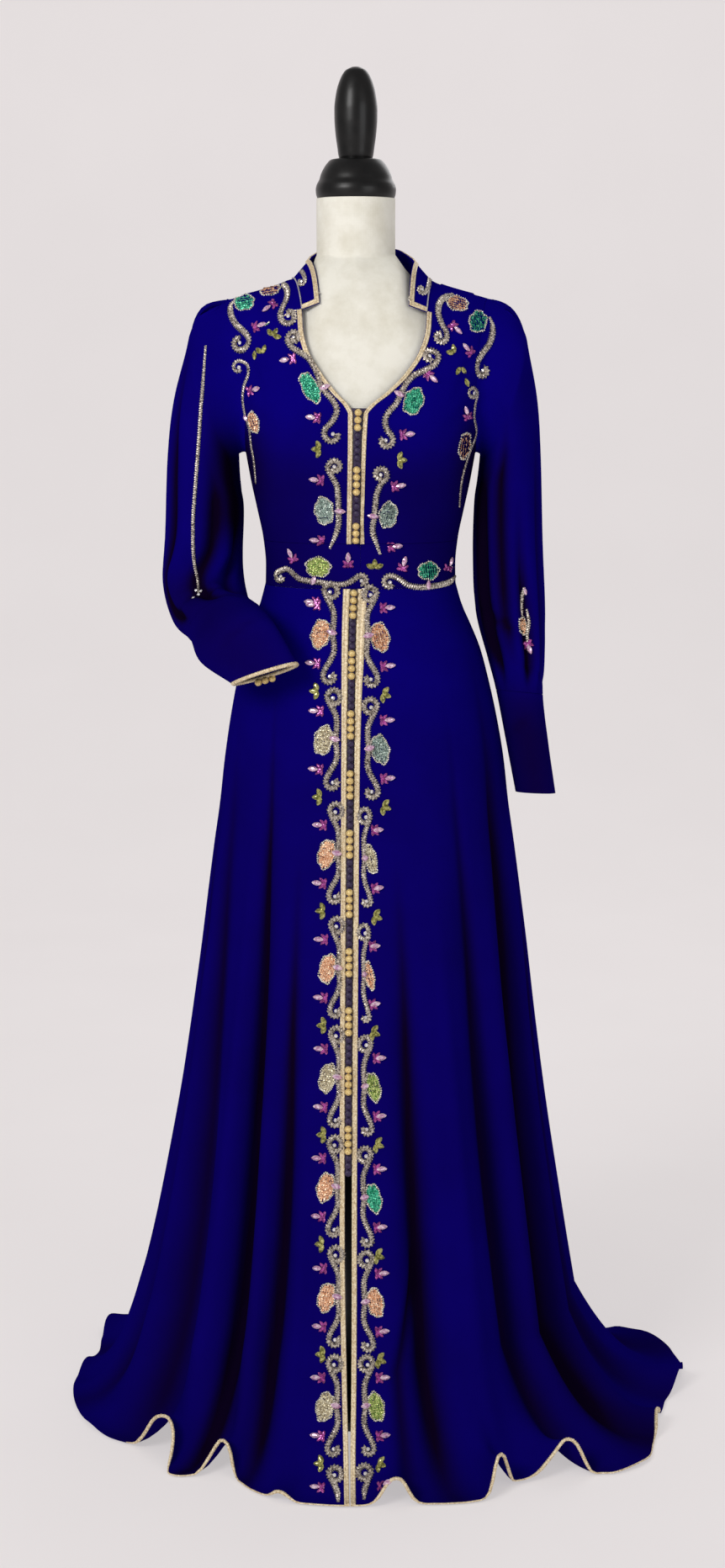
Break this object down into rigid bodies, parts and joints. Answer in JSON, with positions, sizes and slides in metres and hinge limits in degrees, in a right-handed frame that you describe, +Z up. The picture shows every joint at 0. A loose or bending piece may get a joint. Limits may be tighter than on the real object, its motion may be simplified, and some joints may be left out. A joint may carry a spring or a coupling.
{
  "type": "moroccan kaftan on a dress form",
  "caption": "Floor-length long-sleeved kaftan in blue crepe with gold braid, knotted buttons, a waistband and a short train, worn by a limbless dress form on a pole and round base.",
  "frame": {"origin": "centre of the round base's underside, on the floor", "axes": "+Z up; the kaftan's front faces -Y; the wearer's right side is at -X"},
  "size_m": [0.8458, 0.9093, 1.76],
  "materials": {
    "blue_crepe": "matt crepe",
    "gold_braid": "metallic thread braid",
    "gold_knots": "knotted metallic cord",
    "dark_loops": "corded loops",
    "form_linen": "plain woven cover",
    "black_wood": "black satin lacquer",
    "black_metal": "black satin paint"
  },
  "bodies": {
    "root": {"bodice_front_right": "blue_crepe", "bodice_front_left": "blue_crepe", "bodice_back": "blue_crepe", "waistband": "blue_crepe", "collar": "blue_crepe", "sleeve_right": "blue_crepe", "sleeve_left": "blue_crepe", "cuff_right": "blue_crepe", "cuff_left": "blue_crepe", "skirt_front_right": "blue_crepe", "skirt_front_left": "blue_crepe", "skirt_back": "blue_crepe", "collar_braid": "gold_braid", "collar_piping": "gold_braid", "bodice_braid_right": "gold_braid", "bodice_braid_left": "gold_braid", "skirt_braid_right": "gold_braid", "skirt_braid_left": "gold_braid", "cuff_edge_right": "gold_braid", "cuff_edge_left": "gold_braid", "hem_piping_front_right": "gold_braid", "hem_piping_front_left": "gold_braid", "hem_piping_back": "gold_braid", "cuff_buttons_right": "gold_knots", "cuff_buttons_left": "gold_knots", "bodice_buttons_1": "gold_knots", "bodice_buttons_2": "gold_knots", "bodice_buttons_3": "gold_knots", "skirt_buttons_1": "gold_knots", "skirt_buttons_2": "gold_knots", "skirt_buttons_3": "gold_knots", "skirt_buttons_4": "gold_knots", "skirt_buttons_5": "gold_knots", "skirt_buttons_6": "gold_knots", "skirt_buttons_7": "gold_knots", "skirt_buttons_8": "gold_knots", "skirt_buttons_9": "gold_knots", "skirt_buttons_10": "gold_knots", "loop_strip_bodice": "dark_loops", "loop_strip_skirt": "dark_loops", "form_body": "form_linen", "neck_cap": "black_wood", "finial": "black_wood", "pole": "black_metal", "base_disc": "black_metal"}
  },
  "joints": []
}
